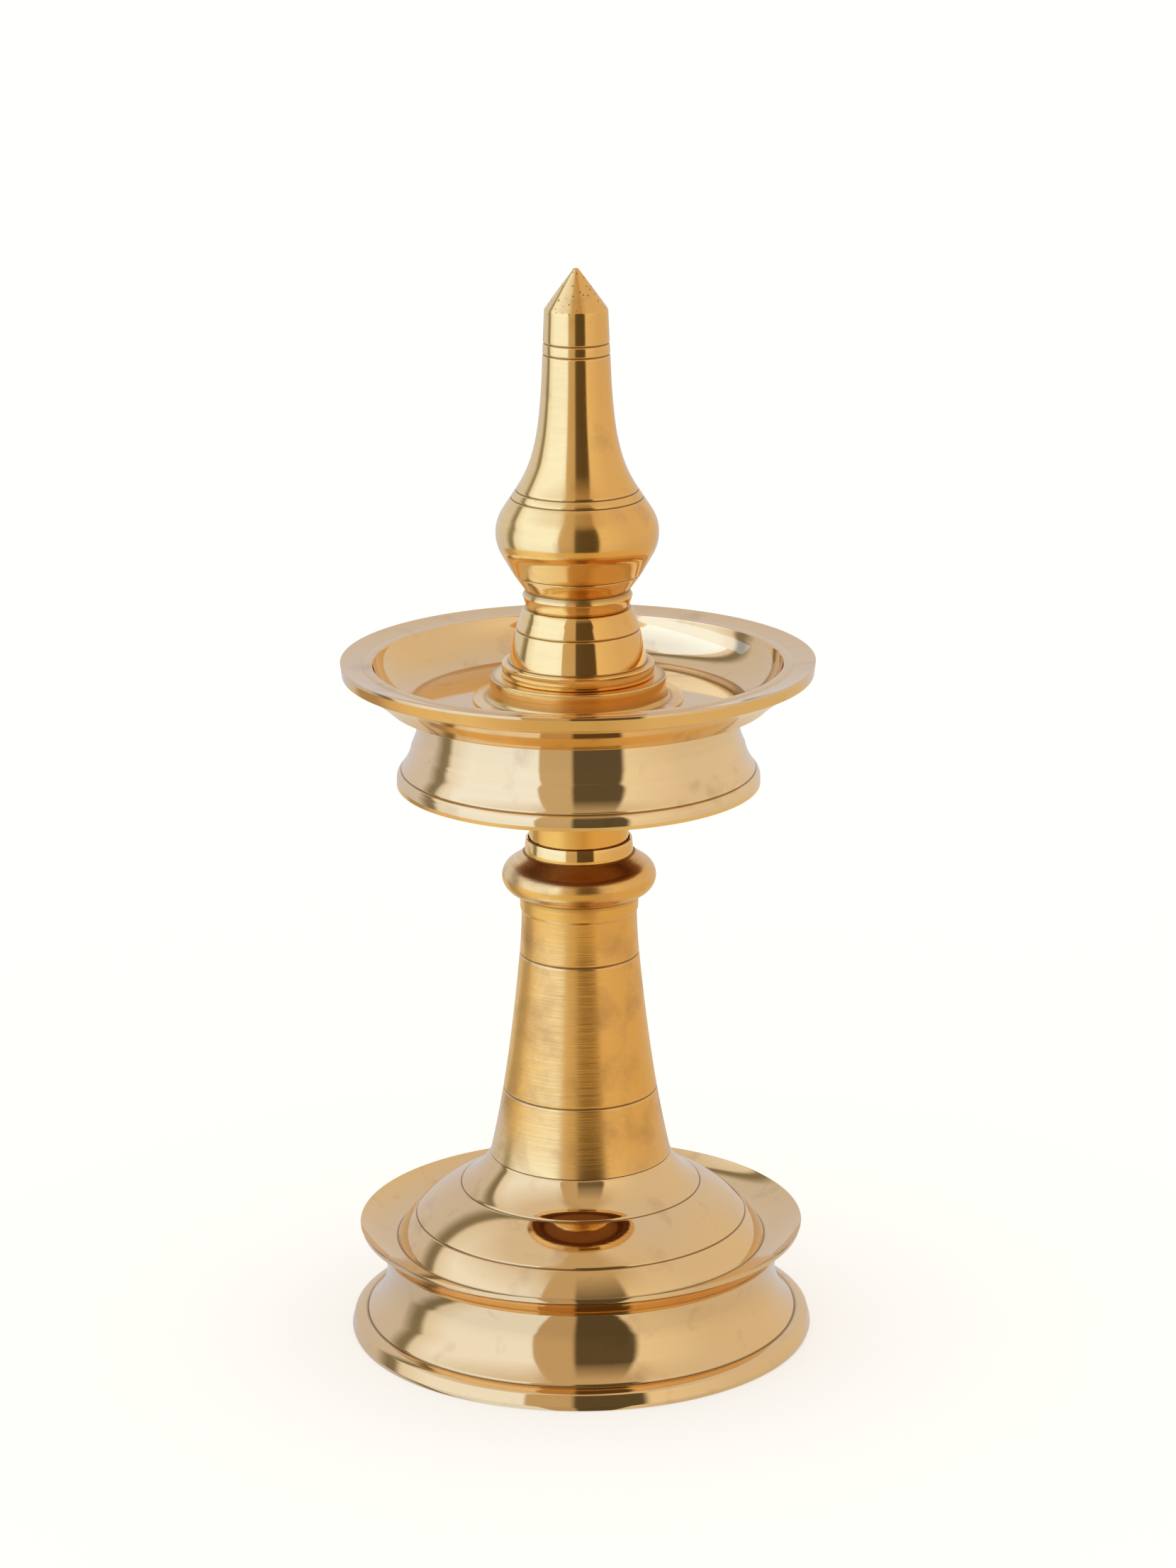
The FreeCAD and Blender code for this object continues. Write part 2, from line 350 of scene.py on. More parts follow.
def mark_corners(bm, joints, is_raw):
    """Notes for each point of the section how much painted shade and grime it takes as a crevice, how worn
    an edge it is, and if it is raw casting.
    """
    crevice_shade_and_grime = bm.verts.layers.float.new("crevice_shade_and_grime")
    worn = bm.verts.layers.float.new("worn_edge")
    raw = bm.verts.layers.float.new("cast_skin")
    for vert in bm.verts:
        vert[raw] = float(is_raw(vert.co))
    order, closed = walk(bm)
    count = len(order)
    area = sum(
        order[n - 1].co.x * order[n].co.z - order[n].co.x * order[n - 1].co.z for n in range(count)
    )
    outward = 1.0 if area < 0 else -1.0
    for n in range(count):
        if not closed and n in (0, count - 1):
            continue
        turn = turn_at(order[n - 1].co, order[n].co, order[(n + 1) % count].co) * outward
        depth = min(1.0, max(0.0, (abs(turn) - CORNER_STARTS) / CORNER_GROWS))
        # Inward bends take painted shade and grime, outward bends take wear.
        order[n][worn if turn > 0 else crevice_shade_and_grime] = depth
        at_joint = any(abs(order[n].co.z - height) < JOINT_SHADOW for height in joints)
        if depth and at_joint:
            order[n][crevice_shade_and_grime] = JOINT_SHADE_AND_DIRT


def turned(name, node, settings, is_hidden, is_raw=never):
    """Turns a casting about the lamp's axis from the section of its node."""
    section = section_of(node)
    order, closed = walk(section)
    points = without_idle_points([vert.co.copy() for vert in order], closed)
    section.free()
    points, corners = refined(points, closed, settings, is_hidden)
    bm = bmesh.new()
    verts = [bm.verts.new(p) for p in points]
    for one, other in zip(verts, verts[1:]):
        bm.edges.new((one, other))
    if closed:
        bm.edges.new((verts[-1], verts[0]))
    bmesh.ops.bevel(
        bm,
        geom=[verts[n] for n in corners if len(verts[n].link_edges) == 2],
        offset=settings.corner_softening,
        offset_type="OFFSET",
        segments=3,
        profile=0.5,
        affect="VERTICES",
        clamp_overlap=True,
        material=-1,
    )
    mark_corners(bm, joint_heights(), is_raw)
    for vert in bm.verts:
        vert.co.y = 0.0
        if vert.co.x < SAME_POINT:
            vert.co.x = 0.0
    bmesh.ops.spin(
        bm,
        geom=bm.verts[:] + bm.edges[:],
        cent=CENTRE,
        axis=AXIS,
        angle=2 * math.pi,
        steps=settings.steps_round,
        use_merge=True,
    )
    return finished(name, bm)


def finished(name, bm):
    """Makes an object from a bmesh: doubles merged, facing outwards and smooth."""
    bmesh.ops.remove_doubles(bm, verts=bm.verts, dist=DOUBLED_POINT)
    bmesh.ops.dissolve_degenerate(bm, dist=1e-7, edges=bm.edges)
    bmesh.ops.recalc_face_normals(bm, faces=bm.faces)
    if bm.calc_volume(signed=True) < 0:
        bmesh.ops.reverse_faces(bm, faces=bm.faces)
    mesh = bpy.data.meshes.new(name)
    bm.to_mesh(mesh)
    bm.free()
    mesh.shade_smooth()
    piece = bpy.data.objects.new(name, mesh)
    bpy.context.scene.collection.objects.link(piece)
    return piece


def threaded(name, node, settings):
    """A stud with a screw thread cut along it, inside its node's box."""
    low, high = (Vector(corner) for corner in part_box(node))
    radius = (high.x - low.x) / 2
    root = radius - settings.thread_depth
    pitch = settings.thread_pitch
    turns = math.ceil((high.z - low.z) / pitch) + 3
    bm = bmesh.new()
    profile = ((root, 0.0), (root, 0.12), (radius, 0.5), (radius, 0.62), (root, 1.0))
    verts = [bm.verts.new((r, 0, low.z + (share - 1.5) * pitch)) for r, share in profile]
    edges = [bm.edges.new(pair) for pair in zip(verts, verts[1:])]
    bmesh.ops.spin(
        bm,
        geom=verts + edges,
        cent=CENTRE,
        axis=AXIS,
        dvec=AXIS * (pitch / THREAD_STEPS),
        angle=2 * math.pi,
        steps=THREAD_STEPS,
        use_merge=False,
    )
    one_turn = bm.verts[:] + bm.edges[:] + bm.faces[:]
    for turn in range(1, turns):
        copy = bmesh.ops.duplicate(bm, geom=one_turn)["geom"]
        moved = [item for item in copy if isinstance(item, bmesh.types.BMVert)]
        bmesh.ops.translate(bm, vec=AXIS * (pitch * turn), verts=moved)
    bmesh.ops.remove_doubles(bm, verts=bm.verts, dist=DOUBLED_POINT)
    for height, direction in ((low.z, -1), (high.z, 1)):
        bmesh.ops.bisect_plane(
            bm,
            geom=bm.verts[:] + bm.edges[:] + bm.faces[:],
            dist=1e-7,
            plane_co=(0, 0, height),
            plane_no=(0, 0, direction),
            clear_outer=True,
        )
    chamfer = settings.thread_depth
    for vert in bm.verts:
        inset = chamfer - min(vert.co.z - low.z, high.z - vert.co.z)
        reach = math.hypot(vert.co.x, vert.co.y)
        if inset > 0 and reach > radius - inset:
            vert.co.x *= (radius - inset) / reach
            vert.co.y *= (radius - inset) / reach
    rims = [e for e in bm.edges if e.is_boundary]
    bmesh.ops.holes_fill(bm, edges=rims, sides=0)
    # Painted shade and grime, deeper towards the roots of the thread.
    crevice_shade_and_grime = bm.verts.layers.float.new("crevice_shade_and_grime")
    for vert in bm.verts:
        depth = (radius - math.hypot(vert.co.x, vert.co.y)) / settings.thread_depth
        vert[crevice_shade_and_grime] = min(1.0, max(0.0, depth)) * 0.6
    return finished(name, bm)


# ---------------------------------------------------------------- finishes


def new_group(name, inputs, outputs):
    """An empty shader node group with its sockets, and its two end nodes."""
    group = bpy.data.node_groups.new(name, "ShaderNodeTree")
    for label, kind, default in inputs:
        socket = group.interface.new_socket(label, in_out="INPUT", socket_type=kind)
        if default is not None:
            socket.default_value = default
    for label, kind in outputs:
        group.interface.new_socket(label, in_out="OUTPUT", socket_type=kind)
    return group, group.nodes.new("NodeGroupInput"), group.nodes.new("NodeGroupOutput")


class Bench:
    """Adds and joins nodes in one node tree."""

    def __init__(self, tree):
        self.tree = tree

    def add(self, kind, values=(), **settings):
        node = self.tree.nodes.new(kind)
        for key, value in settings.items():
            setattr(node, key, value)
        for socket, value in dict(values).items():
            self.set(node, socket, value)
        return node

    def set(self, node, socket, value):
        if isinstance(value, bpy.types.NodeSocket):
            self.tree.links.new(value, node.inputs[socket])
        else:
            node.inputs[socket].default_value = value

    def sum(self, operation, one, other=0.0, third=None, clamp=False):
        values = {0: one, 1: other}
        if third is not None:
            values[2] = third
        return self.add("ShaderNodeMath", values, operation=operation, use_clamp=clamp).outputs[0]

    def ramp(self, value, low, high, to_low=0.0, to_high=1.0):
        values = {"Value": value, "From Min": low, "From Max": high}
        values.update({"To Min": to_low, "To Max": to_high})
        return self.add("ShaderNodeMapRange", values).outputs["Result"]

    def blend(self, share, one, other, kind="MIX"):
        node = self.add("ShaderNodeMix", data_type="RGBA", blend_type=kind)
        self.set(node, 0, share)
        self.set(node, 6, one)
        self.set(node, 7, other)
        return node.outputs[2]


def turning_lines_group():
    """Fine lines that run round the axis, broken here and there: height for bump, and streaks for colour."""
    group, source, result = new_group(
        "Turning Lines",
        [
            ("Vector", "NodeSocketVector", None),
            ("Lines", "NodeSocketFloat", 1400.0),
            ("Breaks", "NodeSocketFloat", 3.0),
        ],
        [("Height", "NodeSocketFloat"), ("Streak", "NodeSocketFloat")],
    )
    bench = Bench(group)
    parts = bench.add("ShaderNodeSeparateXYZ", {0: source.outputs["Vector"]})
    x, y, z = parts.outputs
    reach = bench.sum("SQRT", bench.sum("ADD", bench.sum("MULTIPLY", x, x), bench.sum("MULTIPLY", y, y)))
    reach = bench.sum("MAXIMUM", reach, 1e-5)
    breaks, lines = source.outputs["Breaks"], source.outputs["Lines"]
    round_x = bench.sum("MULTIPLY", bench.sum("DIVIDE", x, reach), breaks)
    round_y = bench.sum("MULTIPLY", bench.sum("DIVIDE", y, reach), breaks)

    def rings(share, detail):
        scaled = bench.sum("MULTIPLY", lines, share)
        where = bench.add(
            "ShaderNodeCombineXYZ", {0: round_x, 1: round_y, 2: bench.sum("MULTIPLY", z, scaled)}
        )
        noise = bench.add(
            "ShaderNodeTexNoise",
            {"Vector": where.outputs[0], "W": bench.sum("MULTIPLY", reach, scaled), "Scale": 1.0,
             "Detail": detail, "Roughness": 0.6},
            noise_dimensions="4D",
        )
        return noise.outputs["Fac"]

    fine, broad = rings(1.0, 2.0), rings(0.22, 2.0)
    bench.set(result, "Height", bench.sum("MULTIPLY_ADD", broad, 1.6, fine))
    bench.set(result, "Streak", bench.ramp(rings(0.5, 3.0), 0.35, 0.68))
    return group


def patches_group():
    """Soft uneven patches, for tarnish and for warmer brass."""
    group, source, result = new_group(
        "Patches",
        [
            ("Vector", "NodeSocketVector", None),
            ("Scale", "NodeSocketFloat", 40.0),
            ("Cover", "NodeSocketFloat", 0.5),
        ],
        [("Mask", "NodeSocketFloat")],
    )
    bench = Bench(group)
    noise = bench.add(
        "ShaderNodeTexNoise",
        {"Vector": source.outputs["Vector"], "Scale": source.outputs["Scale"], "Detail": 5.0,
         "Roughness": 0.55, "Distortion": 0.2},
    )
    edge = bench.sum("SUBTRACT", 1.0, source.outputs["Cover"])
    low = bench.sum("MULTIPLY_ADD", edge, 0.4, 0.22)
    mask = bench.ramp(noise.outputs["Fac"], low, bench.sum("ADD", low, 0.30))
    bench.set(result, "Mask", mask)
    return group


def pits_group():
    """Small casting pits, as a mask."""
    group, source, result = new_group(
        "Casting Pits",
        [
            ("Vector", "NodeSocketVector", None),
            ("Scale", "NodeSocketFloat", 500.0),
            ("Cover", "NodeSocketFloat", 0.2),
        ],
        [("Mask", "NodeSocketFloat")],
    )
    bench = Bench(group)
    cells = bench.add(
        "ShaderNodeTexVoronoi",
        {"Vector": source.outputs["Vector"], "Scale": source.outputs["Scale"], "Randomness": 1.0},
    )
    lot = bench.add("ShaderNodeSeparateColor", {0: cells.outputs["Color"]}).outputs[0]
    chosen = bench.sum("LESS_THAN", lot, source.outputs["Cover"])
    hole = bench.ramp(cells.outputs["Distance"], 0.16, 0.34, 1.0, 0.0)
    bench.set(result, "Mask", bench.sum("MULTIPLY", chosen, hole))
    return group


def shaded_side_group():
    """A mask for the side of a casting that is drawn in darker, deeper brass: painted shade for the side
    where the light is dimmer, with an uneven border.
    """
    group, source, result = new_group(
        "Shaded Side",
        [("Vector", "NodeSocketVector", None), ("Unevenness", "NodeSocketFloat", 0.35)],
        [("Mask", "NodeSocketFloat")],
    )
    bench = Bench(group)
    x, y, z = bench.add("ShaderNodeSeparateXYZ", {0: source.outputs["Vector"]}).outputs
    reach = bench.sum("SQRT", bench.sum("ADD", bench.sum("MULTIPLY", x, x), bench.sum("MULTIPLY", y, y)))
    across = bench.sum("DIVIDE", x, bench.sum("MAXIMUM", reach, 1e-5))
    noise = bench.add(
        "ShaderNodeTexNoise", {"Vector": source.outputs["Vector"], "Scale": 60.0, "Detail": 3.0}
    ).outputs["Fac"]
    shift = bench.sum("MULTIPLY", bench.sum("SUBTRACT", noise, 0.5), source.outputs["Unevenness"])
    bench.set(result, "Mask", bench.ramp(bench.sum("ADD", across, shift), -0.32, 0.12))
    return group


def use(bench, group, **values):
    """Places a node group and sets its inputs."""
    node = bench.add("ShaderNodeGroup", node_tree=bpy.data.node_groups[group])
    for label, value in values.items():
        bench.set(node, label, value)
    return node.outputs


WARM_PATCH_SCALE = 26.0
DULL_PATCH_SCALE = 85.0
PIT_SCALE = 900.0
PIT_DEPTH = -6.0
PITS_START = 338 * MILLIMETRE
PITS_FULL = 343 * MILLIMETRE


def brass(name, colours, clean, shaded, lines=1700.0, breaks=0.8, line_depth=4e-6, roughness=0.04,
          satin=0.03, tarnish=0.1, tarnish_depth=0.5, warm=0.2, pits=0.0, streaks=0.12):
    """A brass finish: turning lines, streaks, tarnish, pits, painted shade and grime in the crevices,
    painted shade on one side, and raw cast skin.
    """
    material = bpy.data.materials.new(name)
    material.use_nodes = True
    tree = material.node_tree
    shader = tree.nodes["Principled BSDF"]
    bench = Bench(tree)
    place = bench.add("ShaderNodeTexCoord").outputs["Object"]
    turning = use(bench, "Turning Lines", Vector=place, Lines=lines, Breaks=breaks)
    side = use(bench, "Shaded Side", Vector=place)["Mask"]
    warm_mask = use(bench, "Patches", Vector=place, Scale=WARM_PATCH_SCALE, Cover=warm)["Mask"]
    dull_mask = use(bench, "Patches", Vector=place, Scale=DULL_PATCH_SCALE, Cover=tarnish)["Mask"]
    crevice_shade_and_grime = bench.add("ShaderNodeAttribute", attribute_name="crevice_shade_and_grime").outputs["Fac"]
    worn = bench.add("ShaderNodeAttribute", attribute_name="worn_edge").outputs["Fac"]

    # Painted shade: the +X side of the casting is drawn in the darker shaded-side brass.
    colour = bench.blend(side, (*clean, 1), (*shaded, 1))
    warmth = bench.sum("MULTIPLY", warm_mask, 0.35)
    warmth = bench.sum("MULTIPLY_ADD", turning["Streak"], streaks, warmth, clamp=True)
    colour = bench.blend(warmth, colour, (*colours.deep_brass, 1))
    colour = bench.blend(bench.sum("MULTIPLY", dull_mask, tarnish_depth), colour, (*colours.tarnish, 1))
    colour = bench.blend(bench.sum("MULTIPLY", worn, 0.5), colour, (*clean, 1))
    # Painted shade and grime in the crevices and at the joints.
    shade_and_grime = bench.sum("MULTIPLY", crevice_shade_and_grime, 0.85)
    height = turning["Height"]
    if pits:
        height_up = bench.add("ShaderNodeSeparateXYZ", {0: place}).outputs[2]
        pitted = bench.ramp(height_up, PITS_START, PITS_FULL)
        pit_mask = use(bench, "Casting Pits", Vector=place, Scale=PIT_SCALE, Cover=pits)["Mask"]
        pit_mask = bench.sum("MULTIPLY", pit_mask, pitted)
        shade_and_grime = bench.sum("MAXIMUM", shade_and_grime, bench.sum("MULTIPLY", pit_mask, 0.8))
        height = bench.sum("MULTIPLY_ADD", pit_mask, PIT_DEPTH, height)
    # Darkens the crevices, joints and pits towards the shade and grime colour: painted shade together with
    # polish residue.
    colour = bench.blend(shade_and_grime, colour, (*colours.shade_and_grime_colour, 1))
    raw = bench.add("ShaderNodeAttribute", attribute_name="cast_skin").outputs["Fac"]
    colour = bench.blend(raw, colour, (*colours.cast_skin, 1))
    bench.set(shader, "Base Color", colour)

    rough = bench.sum("MULTIPLY_ADD", turning["Streak"], satin, roughness)
    rough = bench.sum("MULTIPLY_ADD", dull_mask, 0.10, rough)
    rough = bench.sum("MULTIPLY_ADD", raw, 0.5, rough)
    rough = bench.sum("MULTIPLY_ADD", shade_and_grime, 0.35, rough, clamp=True)
    bench.set(shader, "Roughness", rough)
    shader.inputs["Metallic"].default_value = 1.0

    bump = bench.add("ShaderNodeBump", {"Height": height, "Strength": 1.0, "Distance": line_depth})
    bench.set(shader, "Normal", bump.outputs["Normal"])
    return material


def make_finishes(colours):
    """Builds the node groups and the brass finishes once."""
    if "Turning Lines" in bpy.data.node_groups:
        return
    turning_lines_group()
    patches_group()
    pits_group()
    shaded_side_group()
    pale, gold, shaded = colours.pale_brass, colours.gold_brass, colours.shaded_side_brass
    brass("tray_brass", colours, pale, pale)
    brass("skirt_brass", colours, colours.bright_brass, colours.bright_brass, warm=0.1)
    brass("base_brass", colours, pale, pale, lines=1500.0, line_depth=5e-6, roughness=0.045)
    brass("bell_brass", colours, gold, shaded)
    brass("satin_brass", colours, gold, shaded, lines=3000.0, breaks=0.9, line_depth=3.2e-5,
          roughness=0.19, satin=0.08, tarnish=0.35, warm=0.3, streaks=0.3)
    brass("lathe_brass", colours, gold, shaded, lines=2800.0, line_depth=1.6e-5, roughness=0.13,
          satin=0.08, tarnish=0.05, warm=0.2, streaks=0.2)
    brass("finial_brass", colours, gold, shaded, lines=1700.0, breaks=0.9, line_depth=6e-6,
          roughness=0.10, satin=0.05, warm=0.25, pits=0.35)
    brass("screw_brass", colours, shaded, shaded, lines=900.0, breaks=6.0, line_depth=2e-6,
          roughness=0.30, satin=0.10, tarnish=0.35, warm=0.5)


def fit(piece, node, body, material):
    """Gives a finished piece its brass and puts it in its node's place."""
    piece.data.materials.clear()
    piece.data.materials.append(bpy.data.materials[material])
    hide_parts(node)
    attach(piece, body)


# ---------------------------------------------------------------- pieces


class LAMP_OT_base(bpy.types.Operator):
    """Turns the base with its catch dish and dome"""

    bl_idname = "lamp.base"
    bl_label = "Base"

    def execute(self, context):
        make_finishes(context.scene.lamp_brass)

        def underneath(point):
            low_wall = point.x < 72.9 * MILLIMETRE and point.z < 3.8 * MILLIMETRE
            return low_wall or point.x < 17 * MILLIMETRE

        hollow = within((
            (0.2, 74.7), (3.6, 74.0), (11.0, 65.9), (21.0, 63.0), (29.0, 62.0), (36.8, 55.0),
            (47.0, 42.0), (55.0, 30.0), (60.5, 20.0),
        ))
        piece = turned("base", "base_casting", context.scene.lamp_turning, underneath, hollow)
        fit(piece, "base_casting", "base", "base_brass")
        return {"FINISHED"}


class LAMP_OT_stem(bpy.types.Operator):
    """Turns the tapered stem and the ring round its socket"""

    bl_idname = "lamp.stem"
    bl_label = "Stem"

    def execute(self, context):
        make_finishes(context.scene.lamp_brass)
        turning = context.scene.lamp_turning
        piece = turned("tapered_stem", "stem", turning, narrower_than(17 * MILLIMETRE))
        fit(piece, "stem", "stem", "satin_brass")
        piece = turned("socket_ring", "stem_socket_ring", turning, narrower_than(17 * MILLIMETRE))
        fit(piece, "stem_socket_ring", "stem", "bell_brass")
        return {"FINISHED"}


class LAMP_OT_tray(bpy.types.Operator):
    """Turns the oil tray with its skirt, neck and hub flange"""

    bl_idname = "lamp.tray"
    bl_label = "Oil Tray"

    def execute(self, context):
        make_finishes(context.scene.lamp_brass)
        turning = context.scene.lamp_turning
        bore = narrower_than(9 * MILLIMETRE)
        drum = within(((187.6, 57.4), (204.5, 50.1), (212.5, 50.1)))
        for name, node, raw, material, slot in (
            ("neck", "tray_neck", never, "bell_brass", "polished_brass"),
            ("skirt", "tray_skirt", drum, "skirt_brass", "polished_brass"),
            ("tray", "oil_tray", drum, "tray_brass", "polished_brass"),
            ("flange", "hub_flange", never, "lathe_brass", "turned_brass"),
        ):
            fit(turned(name, node, turning, bore, raw), node, "tray", material)
        return {"FINISHED"}


class LAMP_OT_hub(bpy.types.Operator):
    """Turns the bell-shaped hub"""

    bl_idname = "lamp.hub"
    bl_label = "Hub"

    def execute(self, context):
        make_finishes(context.scene.lamp_brass)
        bore = narrower_than(9 * MILLIMETRE)
        piece = turned("bell", "bell_hub", context.scene.lamp_turning, bore)
        fit(piece, "bell_hub", "hub", "bell_brass")
        return {"FINISHED"}


class LAMP_OT_finial(bpy.types.Operator):
    """Turns the pointed finial"""

    bl_idname = "lamp.finial"
    bl_label = "Finial"

    def execute(self, context):
        make_finishes(context.scene.lamp_brass)

        def bore(point):
            return point.x < 7 * MILLIMETRE and point.z < 263 * MILLIMETRE

        piece = turned("pointed_finial", "finial", context.scene.lamp_turning, bore)
        fit(piece, "finial", "finial", "finial_brass")
        return {"FINISHED"}


class LAMP_OT_studs(bpy.types.Operator):
    """Cuts the threads of the three studs that hold the castings together"""

    bl_idname = "lamp.studs"
    bl_label = "Threaded Studs"

    def execute(self, context):
        make_finishes(context.scene.lamp_brass)
        for node, body in (("stem_stud", "stem"), ("tray_stud", "tray"), ("finial_stud", "finial")):
            piece = threaded(f"{node}_thread", node, context.scene.lamp_turning)
            fit(piece, node, body, "screw_brass")
        return {"FINISHED"}


# ---------------------------------------------------------------- stage

FLOOR_REACH = 8.0
FLOOR_SHADE = 0.5
FLOOR_LIGHT = 1.07
BACK_WALL = (0.68, 0.68, 0.76)
SEAM = (0.26, 0.24, 0.19)
LEFT_EDGE = (0.88, 0.90, 0.98)
LEFT_WALL = (0.99, 1.13, 1.42)
LEFT_ROOF = (0.76, 0.72, 0.71)
DOOR_FLAP = (0.60, 0.48, 0.33)
DOORWAY = (0.12, 0.095, 0.06)
RIGHT_EDGE = (0.92, 0.85, 0.72)
RIGHT_WALL = (0.78, 0.70, 0.61)
RIGHT_ROOF = (0.77, 0.68, 0.60)
SOFTBOX_AIM = (0, 0, 0.22)
SOFTBOXES = (
    ("upper_softbox", (-0.912, -0.161, 1.646), (1.9, 1.17), (0.24, 0.52, 1.15)),
    ("lower_softbox", (-1.464, -0.258, 1.044), (2.8, 0.54), (0.14, 0.28, 0.60)),
)
BOARD_INNER = 0.085
BOARD_OUTER = 0.52
WALL_COLUMNS = (
    (-180, BACK_WALL), (-120, BACK_WALL), (-109, SEAM), (-103, SEAM), (-98, LEFT_EDGE),
    (-80, LEFT_WALL), (-28, LEFT_WALL), (-27, DOOR_FLAP), (-5, DOOR_FLAP), (-3, DOORWAY),
    (30, DOORWAY), (33, RIGHT_EDGE), (80, RIGHT_WALL), (130, RIGHT_WALL), (180, BACK_WALL),
)
ROOF_COLUMNS = (
    (-180, BACK_WALL), (-125, BACK_WALL), (-112, SEAM), (-104, SEAM), (-98, LEFT_ROOF),
    (-40, LEFT_ROOF), (-24, DOOR_FLAP), (30, DOOR_FLAP), (60, RIGHT_ROOF), (180, BACK_WALL),
)
BOARD_COLUMNS = (
    (-180, (0.74, 0.66, 0.56)), (-135, (0.68, 0.58, 0.42)), (-127, (0.46, 0.34, 0.19)),
    (-110, (0.48, 0.35, 0.19)), (-98, (0.74, 0.56, 0.30)), (-85, (0.84, 0.66, 0.36)),
    (-50, (0.88, 0.72, 0.42)), (-25, (0.72, 0.55, 0.27)), (10, (0.64, 0.48, 0.22)),
    (35, (0.80, 0.62, 0.34)), (100, (0.76, 0.62, 0.38)), (180, (0.74, 0.66, 0.56)),
)


def compass(bench, vector):
    """The direction of a vector round the lamp, in radians, with nothing straight in front."""
    x, y, z = bench.add("ShaderNodeSeparateXYZ", {0: vector}).outputs
    return bench.sum("ARCTAN2", x, bench.sum("MULTIPLY", y, -1.0))


def columns(bench, angle, stops):
    """Colours that change with the direction round the lamp, stop by stop, in degrees."""
    ramp = bench.add("ShaderNodeValToRGB", {0: bench.ramp(angle, -math.pi, math.pi)})
    elements = ramp.color_ramp.elements
    while len(elements) < len(stops):
        elements.new(0.5)
    for element, (degrees, colour) in zip(elements, stops):
        element.position = (degrees + 180) / 360
    for element, (degrees, colour) in zip(elements, stops):
        element.color = (*colour, 1)
    return ramp.outputs[0]


def make_table_board():
    """The wooden table round the paper, level with the base's top. Only the brass above sees it."""
    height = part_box("base_casting")[1][2] + MILLIMETRE
    bm = bmesh.new()
    ends = [bm.verts.new((reach, 0, height)) for reach in (BOARD_INNER, BOARD_OUTER)]
    bmesh.ops.spin(
        bm, geom=ends + [bm.edges.new(ends)], cent=CENTRE, axis=AXIS, angle=2 * math.pi, steps=48,
        use_merge=True,
    )
    downwards = [face for face in bm.faces if face.normal.z < 0]
    bmesh.ops.reverse_faces(bm, faces=downwards)
    mesh = bpy.data.meshes.new("table_board")
    bm.to_mesh(mesh)
    bm.free()
    board = bpy.data.objects.new("table_board", mesh)
    bpy.context.scene.collection.objects.link(board)
    material = bpy.data.materials.new("board_glow")
    material.use_nodes = True
    tree = material.node_tree
    bench = Bench(tree)
    shader = tree.nodes["Principled BSDF"]
    shader.inputs["Base Color"].default_value = (0, 0, 0, 1)
    shader.inputs["Specular IOR Level"].default_value = 0.0
    shader.inputs["Emission Strength"].default_value = 1.0
    place = bench.add("ShaderNodeTexCoord").outputs["Object"]
    bench.set(shader, "Emission Color", columns(bench, compass(bench, place), BOARD_COLUMNS))
    clear = bench.add("ShaderNodeBsdfTransparent").outputs[0]
    underneath = bench.add("ShaderNodeNewGeometry").outputs["Backfacing"]
    mix = bench.add("ShaderNodeMixShader", {0: underneath, 1: shader.outputs[0], 2: clear})
    tree.links.new(mix.outputs[0], tree.nodes["Material Output"].inputs["Surface"])
    mesh.materials.append(material)
    board.visible_camera = False
    board.visible_diffuse = False
    board.visible_shadow = False


def make_floor(colour):
    """A sheet of pale paper. It is kept out of the brass, which mirrors the room instead."""
    bm = bmesh.new()
    bmesh.ops.create_grid(bm, x_segments=8, y_segments=8, size=FLOOR_REACH)
    mesh = bpy.data.meshes.new("paper_floor")
    bm.to_mesh(mesh)
    bm.free()
    floor = bpy.data.objects.new("paper_floor", mesh)
    bpy.context.scene.collection.objects.link(floor)
    material = bpy.data.materials.new("floor_paper")
    material.use_nodes = True
    shader = material.node_tree.nodes["Principled BSDF"]
    shader.inputs["Base Color"].default_value = (*(part * FLOOR_SHADE for part in colour), 1)
    shader.inputs["Roughness"].default_value = 1.0
    shader.inputs["Specular IOR Level"].default_value = 0.0
    shader.inputs["Emission Color"].default_value = (*colour, 1)
    shader.inputs["Emission Strength"].default_value = (1.0 - FLOOR_SHADE) * FLOOR_LIGHT
    mesh.materials.append(material)
    floor.visible_glossy = False
    return floor


def make_room(room, paper):
    """The walls of the light tent, which the brass mirrors. The camera sees plain paper there."""
    world = bpy.data.worlds.new("light_tent")
    bpy.context.scene.world = world
    world.use_nodes = True
    bench = Bench(world.node_tree)
    background = world.node_tree.nodes["Background"]
    ways = bench.add("ShaderNodeTexCoord").outputs["Generated"]
    round_about = compass(bench, ways)
    up = bench.sum("ARCSINE", bench.add("ShaderNodeSeparateXYZ", {0: ways}).outputs[2])
    seam_lean = bench.ramp(up, math.radians(12), math.radians(70), 0.0, math.radians(52))
    behind = bench.ramp(round_about, math.radians(-60), math.radians(-95))
    turn = bench.sum("ADD", round_about, bench.sum("MULTIPLY", seam_lean, behind))
    level = columns(bench, turn, WALL_COLUMNS)
    over = columns(bench, turn, ROOF_COLUMNS)
    height = bench.ramp(up, math.radians(32), math.radians(62))
    painted = bench.blend(height, level, over)
    below = bench.ramp(up, math.radians(0), math.radians(-30), 1.0, 0.88)
    painted = bench.blend(1.0, painted, below, "MULTIPLY")
    is_floor = bench.add("ShaderNodeLightPath").outputs["Is Diffuse Ray"]
    painted = bench.blend(is_floor, painted, (*room, 1))
    is_seen = bench.add("ShaderNodeLightPath").outputs["Is Camera Ray"]
    paper = (*(part * FLOOR_LIGHT for part in paper), 1)
    bench.set(background, "Color", bench.blend(is_seen, painted, paper))
    background.inputs["Strength"].default_value = 1.0


